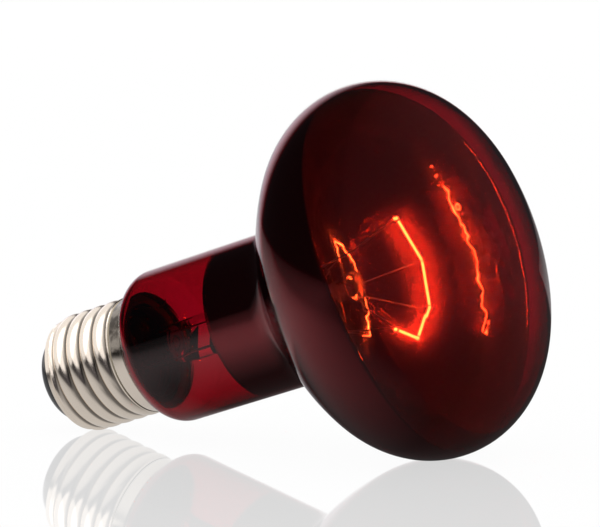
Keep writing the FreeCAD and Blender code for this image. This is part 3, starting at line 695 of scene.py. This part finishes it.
class HEATLAMP_OT_cap(bpy.types.Operator):
    """Make the screw cap with its insulator, contact and solder"""

    bl_idname = "heat_lamp.cap"
    bl_label = "Screw Cap"

    def execute(self, context):
        _, cap, _, finish = settings_of(context)
        plating = drifting_metal("plated_shell", finish.plating, *PLATING_DRIFT)
        tarnish_shell(plating, cap, finish)
        mesh = shell_mesh(cap)
        shell = finish_piece("threaded_shell", mesh, plating, ["screw_shell"])
        give_wall(shell, cap.wall)

        contact_top = cap.solder_height + cap.contact_thickness
        edge = cap.contact_edge
        line = Meridian(0, cap.solder_height)
        line.line_to(cap.contact_radius - edge, cap.solder_height)
        line.arc_to(cap.contact_radius, cap.solder_height + edge,
                    (cap.contact_radius - edge, cap.solder_height + edge))
        line.line_to(cap.contact_radius, contact_top).line_to(0, contact_top)
        brass = drifting_metal("contact_metal", finish.contact, *CONTACT_DRIFT)
        finish_piece("contact_disc", line.lathe(), brass, ["centre_contact"])

        ball = (cap.solder_radius ** 2 + cap.solder_height ** 2) / (2 * cap.solder_height)
        line = Meridian(0, 0)
        line.arc_to(cap.solder_radius, cap.solder_height, (0, ball)).line_to(0, cap.solder_height)
        solder = drifting_metal("solder", finish.solder, *SOLDER_DRIFT)
        finish_piece("contact_solder", line.lathe(), solder, ["centre_solder"])
        paint_node("side_solder", solder)

        black = new_material("black_glass", finish.black_glass, BLACK_GLASS)
        bulge = cap.insulator_round
        bulge_middle = (cap.lip_radius - bulge, contact_top + bulge)
        line = Meridian(0, contact_top)
        line.line_to(bulge_middle[0], contact_top)
        line.arc_to(cap.lip_radius, bulge_middle[1], bulge_middle)
        line.line_to(cap.lip_radius, cap.end + cap.wall)
        line.line_to(0, cap.end + cap.wall)
        finish_piece("insulator_button", line.lathe(), black, ["cap_insulator"])

        paint_node("basing_cement", new_material("basing_cement", finish.cement, CEMENT))
        return {"FINISHED"}


class HEATLAMP_OT_stem(bpy.types.Operator):
    """Make the glass mount: stem, exhaust tube, arbor rod and button"""

    bl_idname = "heat_lamp.stem"
    bl_label = "Glass Mount"

    def execute(self, context):
        _, _, mount, _ = settings_of(context)
        clear = new_material("clear_glass", WHITE, CLEAR_GLASS)
        paint_node("stem_glass", clear)
        paint_node("exhaust_tube", clear)
        half = mount.button_thickness / 2
        edge = mount.button_radius - half
        line = Meridian(0, mount.press_top)
        line.line_to(mount.arbor_radius, mount.press_top)
        line.line_to(mount.arbor_radius, mount.button_height - half, steps=ARBOR_STEPS)
        line.line_to(edge, mount.button_height - half)
        line.arc_to(mount.button_radius, mount.button_height, (edge, mount.button_height))
        line.arc_to(edge, mount.button_height + half, (edge, mount.button_height))
        line.line_to(0, mount.button_height + half)
        milky = new_material("button_glass", WHITE, BUTTON_GLASS)
        finish_piece("arbor_and_button", line.lathe(), milky, ["arbor_rod"])
        return {"FINISHED"}


class Wire:
    """A round wire, drawn on from its open end by straight pulls and bends."""

    def __init__(self, start, towards, radius):
        self.mesh = bmesh.new()
        self.place = start
        self.heading = (towards - start).normalized()
        turned = self.heading.to_track_quat("Z", "X").to_matrix().to_4x4()
        bmesh.ops.create_circle(
            self.mesh, cap_ends=True, segments=WIRE_SIDES, radius=radius,
            matrix=Matrix.Translation(self.place) @ turned)
        self.rim = self.mesh.edges[:]

    def pull_to(self, place):
        made = bmesh.ops.extrude_edge_only(self.mesh, edges=self.rim)["geom"]
        moved = [item for item in made if isinstance(item, bmesh.types.BMVert)]
        bmesh.ops.translate(self.mesh, vec=place - self.place, verts=moved)
        self.rim = [item for item in made if isinstance(item, bmesh.types.BMEdge)
                    and all(vert in moved for vert in item.verts)]
        self.place = place
        return self

    def wind(self, centre, axis, turn, steps, advance=0.0):
        """Carries the open end round an axis, and along it by the advance."""
        axis = axis.normalized()
        made = bmesh.ops.spin(
            self.mesh, geom=self.rim, cent=centre, axis=axis, angle=turn, steps=steps,
            dvec=axis * advance / steps)["geom_last"]
        self.rim = [item for item in made if isinstance(item, bmesh.types.BMEdge)]
        round_axis = Matrix.Rotation(turn, 3, axis)
        self.place = centre + round_axis @ (self.place - centre) + axis * advance
        self.heading = round_axis @ self.heading
        return self

    def follow(self, points, bend):
        """Runs straight between points and bends at each of them but the last."""
        for corner, after in zip(points, points[1:]):
            ahead = (after - corner).normalized()
            turn = self.heading.angle(ahead)
            if turn < WELD:
                continue
            room = min((corner - self.place).length, (after - corner).length) / 2
            trim = min(bend * math.tan(turn / 2), room)
            radius = trim / math.tan(turn / 2)
            axis = self.heading.cross(ahead).normalized()
            self.pull_to(corner - self.heading * trim)
            centre = self.place + axis.cross(self.heading) * radius
            self.wind(centre, axis, turn, max(2, math.ceil(turn / BEND_STEP)))
        return self.pull_to(points[-1])

    def close(self):
        bmesh.ops.contextual_create(self.mesh, geom=self.rim)
        return self.mesh


def looped_wire(mount, turn, points, loop_radius, radius):
    """A wire bent in the plane of one angle that ends in an open loop round the filament."""
    shank = loop_radius - (mount.filament_radius + mount.loop_clearance + radius)
    top = mount.filament_height
    corners = points + [(shank, top - mount.loop_shank), (shank, top)]
    places = [at_angle(turn, across, up) for across, up in corners]
    wire = Wire(places[0], places[1], radius)
    wire.follow(places[1:], mount.bend)
    axis = Vector((0, 0, 1)).cross(at_angle(turn, 1.0, 0.0))
    wire.wind(at_angle(turn, loop_radius, top), axis, mount.loop_sweep, LOOP_STEPS)
    return wire.close()


def support_turns(mount):
    """The angles of the supports round the axis."""
    return [mount.support_angle - mount.support_step * place for place in range(SUPPORTS)]


class HEATLAMP_OT_wires(bpy.types.Operator):
    """Bend the support wires and the lead wires"""

    bl_idname = "heat_lamp.wires"
    bl_label = "Supports and Leads"

    def execute(self, context):
        glass, cap, mount, finish = settings_of(context)
        support = drifting_metal("support_metal", finish.support, *WIRE_DRIFT)
        button = mount.button_height
        points = [(mount.support_seat, button), (mount.support_reach, button)]
        for index, turn in enumerate(support_turns(mount), start=1):
            mesh = looped_wire(mount, turn, points, mount.ring_radius, mount.support_radius)
            name = "support_wire_" + str(index)
            finish_piece("bent_" + name, mesh, support, [name])

        lead = drifting_metal("lead_metal", finish.lead, *WIRE_DRIFT)
        root = cap.crest_radius - cap.depth
        skirt_start = cap.height - cap.skirt_length
        neck_gap = (glass.cap_neck_radius + root - cap.wall) / 2
        skirt_gap = cap.skirt_radius - cap.wall - mount.lead_radius - mount.skirt_clearance
        over_rim = cap.height + mount.lead_radius
        stub = mount.press_top + mount.lead_stub
        side_points = [
            (cap.skirt_radius + mount.lead_radius, over_rim),
            (skirt_gap, over_rim),
            (skirt_gap, skirt_start),
            (neck_gap, skirt_start - (cap.skirt_radius - root)),
            (neck_gap, mount.side_turn + mount.side_slope),
            (mount.lead_spread, mount.side_turn),
            (mount.lead_spread, stub),
            (mount.side_knee_radius, mount.side_knee_height)]
        mesh = looped_wire(
            mount, mount.side_lead_angle, side_points, mount.ring_radius, mount.lead_radius)
        finish_piece("bent_side_lead", mesh, lead, ["side_lead_wire"])

        centre_points = [
            (0, cap.solder_height),
            (0, mount.centre_turn - mount.centre_drop),
            (mount.lead_spread, mount.centre_turn),
            (mount.lead_spread, stub)]
        mesh = looped_wire(
            mount, mount.centre_lead_angle, centre_points, mount.centre_reach, mount.lead_radius)
        finish_piece("bent_centre_lead", mesh, lead, ["centre_lead_wire"])
        return {"FINISHED"}


def coil_along(mount, start, end):
    """A close coil of fine wire from one point to the next."""
    axis = (end - start).normalized()
    out = axis.orthogonal().normalized()
    first = start + out * (mount.filament_radius - mount.coil_wire)
    wire = Wire(first, first + axis.cross(out), mount.coil_wire)
    span = (end - start).length
    turns = span / mount.coil_pitch
    wire.wind(start, axis, FULL_TURN * turns, round(turns * COIL_STEPS), advance=span)
    return wire.close()


class HEATLAMP_OT_filament(bpy.types.Operator):
    """Wind the glowing filament from lead to lead"""

    bl_idname = "heat_lamp.filament"
    bl_label = "Filament"

    def execute(self, context):
        _, _, mount, finish = settings_of(context)
        turns = [mount.side_lead_angle] + support_turns(mount)
        corners = [at_angle(turn, mount.ring_radius, mount.filament_height) for turn in turns]
        corners.append(at_angle(mount.centre_lead_angle, mount.centre_reach, mount.filament_height))
        corners[0] += (corners[0] - corners[1]).normalized() * mount.filament_tail
        corners[-1] += (corners[-1] - corners[-2]).normalized() * mount.filament_tail
        glow = new_material("filament_metal", TUNGSTEN, {
            "Metallic": 1.0, "Emission Color": (*finish.glow, 1.0),
            "Emission Strength": finish.glow_strength})
        whole = bmesh.new()
        spare = bpy.data.meshes.new("coil_span")
        for start, end in zip(corners, corners[1:]):
            span = coil_along(mount, start, end)
            span.to_mesh(spare)
            span.free()
            whole.from_mesh(spare)
        bpy.data.meshes.remove(spare)
        finish_piece("coiled_filament", whole, glow, ["filament"])
        return {"FINISHED"}


# Soft steps of the light painted on the table, and of the painted shadow under the lamp, in metres
# from the middle of the lamp, and what is left of the pool where it has faded.
POOL_LEFT = (-0.10, 0.06)
POOL_SHADOW_FADE = (0.0, 0.045)
POOL_PAST_CAP = (0.01, 0.035)
POOL_FADING = (0.04, 0.16)
POOL_FADED = 0.35
STRIP_LEFT = (-0.25, -0.12)
STRIP_RIGHT = (0.015, 0.06)
STRIP_BEHIND = (-0.01, 0.08)

# The light sweep behind the lamp and its fading: rise, turn and the cosines of the soft edges.
SWEEP_RISE = 0.09
SWEEP_EDGE = (0.982, 0.9905)
FADE_TURN = math.radians(16)
FADE_RISE = 0.14
FADE_EDGE = (0.925, 1.02)
ROOM_SIDE = (-0.5, 0.5)
TABLE_ROUGHNESS = 0.02
SENSOR_WIDTH = 36.0

# Lights for the cap alone: name, place, size and power, their aim and the pieces they light.
CAP_LAMPS = (
    ("cap_softbox", (-0.3675, -0.07, 0.39), 1.40, 4.5),
    ("cap_overhead", (-0.02, -0.225, 0.40), 0.8, 1.6),
)
CAP_MIDDLE = (-0.045, 0, 0.015)
CAP_PIECES = ("threaded_shell", "contact_disc", "contact_solder", "insulator_button")


def table_light(tree, stage, ahead):
    """Painted light on the table as the lamp mirrors it: a pool on its left with a painted shadow
    under the lamp, and a strip behind it.
    """
    place = object_place(tree)
    leftwards = along(tree, place, (-1, 0, 0))
    nearer = along(tree, place, (0, -1, 0))
    left = eased(tree, leftwards, *POOL_LEFT)
    past_cap = eased(tree, leftwards, *POOL_PAST_CAP)
    # Painted shadow: the pool darkens towards and under the lamp, except to the left past the cap.
    clear = combined(tree, "MAXIMUM", eased(tree, nearer, *POOL_SHADOW_FADE), past_cap)
    fading = eased(tree, nearer, *POOL_FADING, 1.0, POOL_FADED)
    pool = combined(tree, "MULTIPLY", left, clear, fading, stage.pool)
    aside = along(tree, place, (ahead.y, -ahead.x, 0))
    from_left = eased(tree, aside, *STRIP_LEFT)
    to_right = eased(tree, aside, *STRIP_RIGHT, 1.0, 0.0)
    behind = eased(tree, along(tree, place, ahead), *STRIP_BEHIND)
    strip = combined(tree, "MULTIPLY", from_left, to_right, behind, stage.strip)
    return combined(tree, "MAXIMUM", pool, strip, stage.dark_table)


def mixed_shader(tree, factor, first, second):
    """A shader between two shaders."""
    mix = add_node(tree, "MixShader")
    for source, socket in zip((factor, first, second), mix.inputs):
        tree.links.new(source, socket)
    return mix.outputs["Shader"]


def cleared_tree(owner):
    """The node tree of a material or a world, emptied."""
    owner.use_nodes = True
    owner.node_tree.nodes.clear()
    return owner.node_tree


def floor_material(stage, ahead):
    """Polished white table: part white that takes shadows, part white as seen, part reflection."""
    material = bpy.data.materials.new("white_table")
    tree = cleared_tree(material)
    output = add_node(tree, "OutputMaterial")
    path = add_node(tree, "LightPath").outputs
    # Painted light: glossy and transmission rays see the table's painted pool, strip and shadow.
    shown = combined(tree, "MAXIMUM", path["Is Glossy Ray"], path["Is Transmission Ray"])
    mirrored = combined(tree, "MULTIPLY", table_light(tree, stage, ahead), shown)
    seen = add_node(tree, "Emission")
    strength = combined(tree, "MAXIMUM", mirrored, path["Is Camera Ray"])
    tree.links.new(strength, seen.inputs["Strength"])
    lit = add_node(tree, "BsdfDiffuse", {"Color": (*WHITE, 1.0)})
    gloss = add_node(tree, "BsdfGlossy", {"Color": (*WHITE, 1.0), "Roughness": TABLE_ROUGHNESS})
    polish = add_node(tree, "Fresnel", {"IOR": stage.floor_index})
    shaded = combined(tree, "MULTIPLY", path["Is Camera Ray"], stage.floor_lit)
    white = mixed_shader(tree, shaded, seen.outputs["Emission"], lit.outputs["BSDF"])
    polished = combined(tree, "MULTIPLY", polish.outputs["Fac"], stage.floor_gloss)
    surface = mixed_shader(tree, polished, white, gloss.outputs["BSDF"])
    tree.links.new(surface, output.inputs["Surface"])
    return material


def build_world(stage, ahead):
    """A white sweep behind the lamp that fades to the left and upwards into a dim room."""
    world = bpy.data.worlds.new("studio")
    world.cycles.sampling_method = "NONE"
    tree = cleared_tree(world)
    output = add_node(tree, "OutputWorld")
    background = add_node(tree, "Background")
    place = add_node(tree, "TexCoord").outputs["Generated"]
    middle = (ahead + Vector((0, 0, SWEEP_RISE))).normalized()
    sweep = eased(tree, along(tree, place, middle), *SWEEP_EDGE)
    turned = Matrix.Rotation(FADE_TURN, 3, "Z") @ ahead
    fade_middle = (turned + Vector((0, 0, FADE_RISE))).normalized()
    fade = eased(tree, along(tree, place, fade_middle), *FADE_EDGE)
    dim = eased(tree, along(tree, place, (1, 0, 0)), *ROOM_SIDE, stage.dark_room, stage.dim_room)
    path = add_node(tree, "LightPath").outputs
    soft = combined(tree, "MULTIPLY", path["Is Diffuse Ray"], stage.fill)
    white = combined(tree, "MAXIMUM", path["Is Camera Ray"], soft, sweep)
    tint = blended(tree, white, stage.room_tint, WHITE)
    tree.links.new(tint, background.inputs["Color"])
    strength = combined(tree, "MAXIMUM", white, fade, dim)
    tree.links.new(strength, background.inputs["Strength"])
    tree.links.new(background.outputs["Background"], output.inputs["Surface"])
    bpy.context.scene.world = world


def add_lamp(name, place, size, power):
    """A round light that shines on the cap."""
    data = bpy.data.lights.new(name, "AREA")
    data.shape = "DISK"
    data.size = size
    data.energy = power
    lamp = place_object(name, data)
    lamp.location = place
    ahead = Vector(CAP_MIDDLE) - Vector(place)
    lamp.rotation_euler = ahead.to_track_quat("-Z", "Y").to_euler()
    return lamp


class HEATLAMP_OT_stage(bpy.types.Operator):
    """Set up the table, the lights and the camera"""

    bl_idname = "heat_lamp.stage"
    bl_label = "Stage"

    def execute(self, context):
        stage = context.scene.heat_lamp_stage
        level = Vector((-math.sin(stage.azimuth), math.cos(stage.azimuth), 0.0))
        ahead = level * math.cos(stage.elevation) - Vector((0, 0, math.sin(stage.elevation)))
        mesh = bmesh.new()
        bmesh.ops.create_grid(mesh, x_segments=1, y_segments=1, size=stage.floor_size)
        table = place_object("table", mesh_data("table", mesh, floor_material(stage, level)))

        data = bpy.data.cameras.new("photo_camera")
        data.sensor_width = SENSOR_WIDTH
        data.lens = stage.focal_length
        camera = place_object("photo_camera", data)
        camera.location = Vector(stage.aim) - ahead * stage.distance
        camera.rotation_euler = ahead.to_track_quat("-Z", "Y").to_euler()
        context.scene.camera = camera

        build_world(stage, level)
        lit = bpy.data.collections.new("lit_cap")
        for name in CAP_PIECES:
            lit.objects.link(bpy.data.objects[name])
        for lamp in CAP_LAMPS:
            add_lamp(*lamp).light_linking.receiver_collection = lit
        context.scene.view_settings.view_transform = "Standard"
        return {"FINISHED"}


class HEATLAMP_PT_panel(bpy.types.Panel):
    """Lists the settings and the steps that make the lamp"""

    bl_idname = "HEATLAMP_PT_panel"
    bl_label = "Heat Lamp"
    bl_space_type = "VIEW_3D"
    bl_region_type = "UI"
    bl_category = "Heat Lamp"

    def draw(self, context):
        for operator in STEPS:
            self.layout.operator(operator.bl_idname)
        for pointer in POINTERS:
            box = self.layout.box()
            group = getattr(context.scene, pointer)
            for name in group.__annotations__:
                box.prop(group, name)


POINTERS = {
    "heat_lamp_glass": GlassSettings,
    "heat_lamp_cap": CapSettings,
    "heat_lamp_mount": MountSettings,
    "heat_lamp_finish": FinishSettings,
    "heat_lamp_stage": StageSettings,
}
STEPS = (
    HEATLAMP_OT_glass,
    HEATLAMP_OT_mirror,
    HEATLAMP_OT_cap,
    HEATLAMP_OT_stem,
    HEATLAMP_OT_wires,
    HEATLAMP_OT_filament,
    HEATLAMP_OT_stage,
)


def register():
    for group in POINTERS.values():
        bpy.utils.register_class(group)
    for pointer, group in POINTERS.items():
        setattr(bpy.types.Scene, pointer, bpy.props.PointerProperty(type=group))
    for operator in STEPS:
        bpy.utils.register_class(operator)
    bpy.utils.register_class(HEATLAMP_PT_panel)


def unregister():
    bpy.utils.unregister_class(HEATLAMP_PT_panel)
    for operator in reversed(STEPS):
        bpy.utils.unregister_class(operator)
    for pointer, group in reversed(list(POINTERS.items())):
        delattr(bpy.types.Scene, pointer)
        bpy.utils.unregister_class(group)


def main():
    register()
    bpy.ops.heat_lamp.glass()
    bpy.ops.heat_lamp.mirror()
    bpy.ops.heat_lamp.cap()
    bpy.ops.heat_lamp.stem()
    bpy.ops.heat_lamp.wires()
    bpy.ops.heat_lamp.filament()
    bpy.ops.heat_lamp.stage()


if __name__ == "__main__":
    main()
